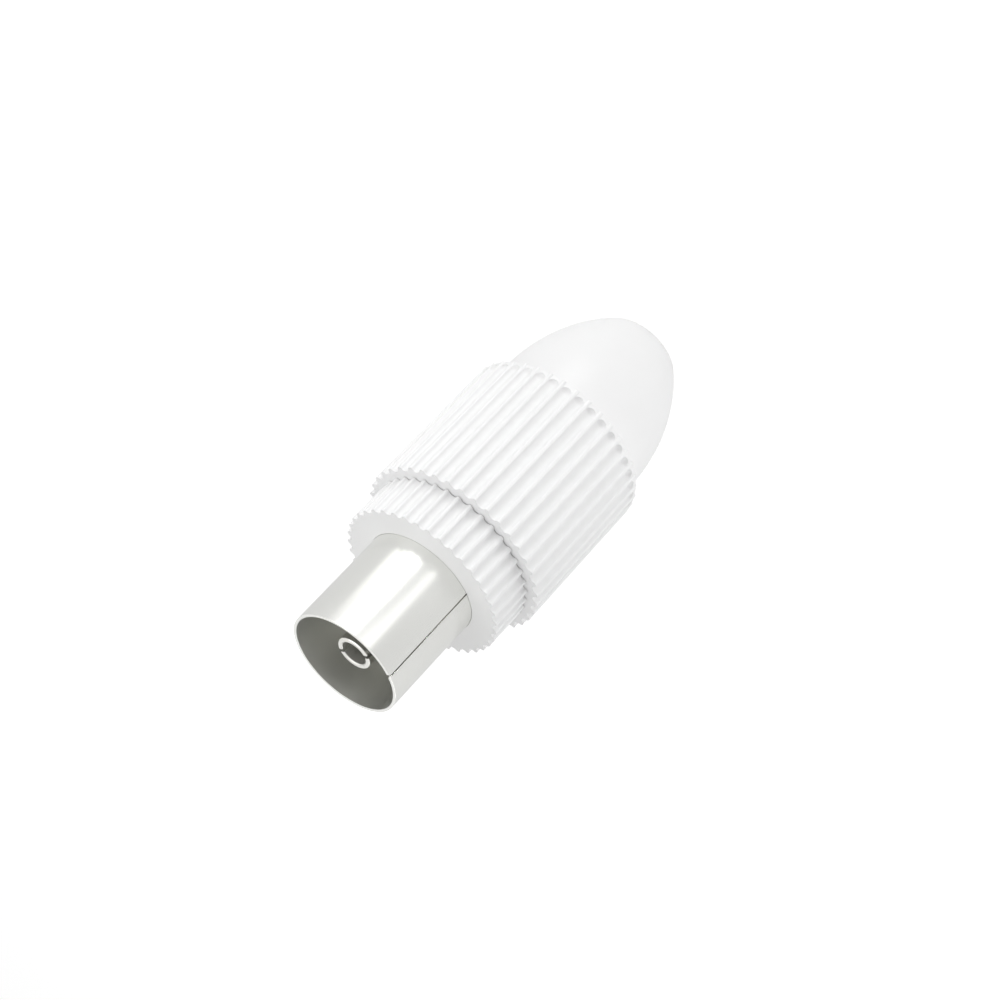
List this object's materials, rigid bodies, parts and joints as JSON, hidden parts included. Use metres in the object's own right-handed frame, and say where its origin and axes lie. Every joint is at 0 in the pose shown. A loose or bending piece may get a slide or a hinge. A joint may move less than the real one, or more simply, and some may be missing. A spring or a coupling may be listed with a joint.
{
  "type": "coaxial line socket",
  "caption": "Round coaxial line socket with a rolled metal sleeve, slotted centre contact and white screw-on cap that clamps the cable.",
  "frame": {"origin": "middle of the flat ring at the cable end of the cap, on which the socket stands", "axes": "+Z along the axis from the cable end to the socket mouth; the sleeve's seam faces -Y and the terminal screw +X"},
  "size_m": [0.0168, 0.0168, 0.04],
  "materials": {
    "cap_plastic": "satin white moulded plastic",
    "body_plastic": "satin white moulded plastic",
    "nickel": "bright nickel plate on rolled sheet",
    "insulator_plastic": "natural insulating plastic",
    "contact_metal": "nickel plate on turned metal",
    "screw_steel": "zinc-plated steel",
    "clamp_metal": "nickel plate on spring sheet"
  },
  "bodies": {
    "cap": {"cap": "cap_plastic"},
    "clamp": {"braid_clamp": "clamp_metal"},
    "front": {"front_body": "body_plastic", "outer_contact": "nickel", "insulator": "insulator_plastic", "centre_contact": "contact_metal"},
    "screw": {"terminal_screw": "screw_steel"}
  },
  "joints": [
    {"name": "front_turn", "type": "hinge", "parent": "cap", "child": "clamp", "pos_m": [0, 0, 0.02], "axis": [0, 0, 1], "range_deg": [0, 1440]},
    {"name": "front_travel", "type": "slide", "parent": "clamp", "child": "front", "axis": [0, 0, 1], "range_m": [0, 0.00505]},
    {"name": "terminal_screw_turn", "type": "hinge", "parent": "front", "child": "screw", "pos_m": [0.00065, 0, 0.0166], "axis": [1, 0, 0], "range_deg": [0, 720]}
  ],
  "couplings": [
    {"joint": "front_travel", "follows": "front_turn", "m_per_rad": 0.00019894}
  ]
}
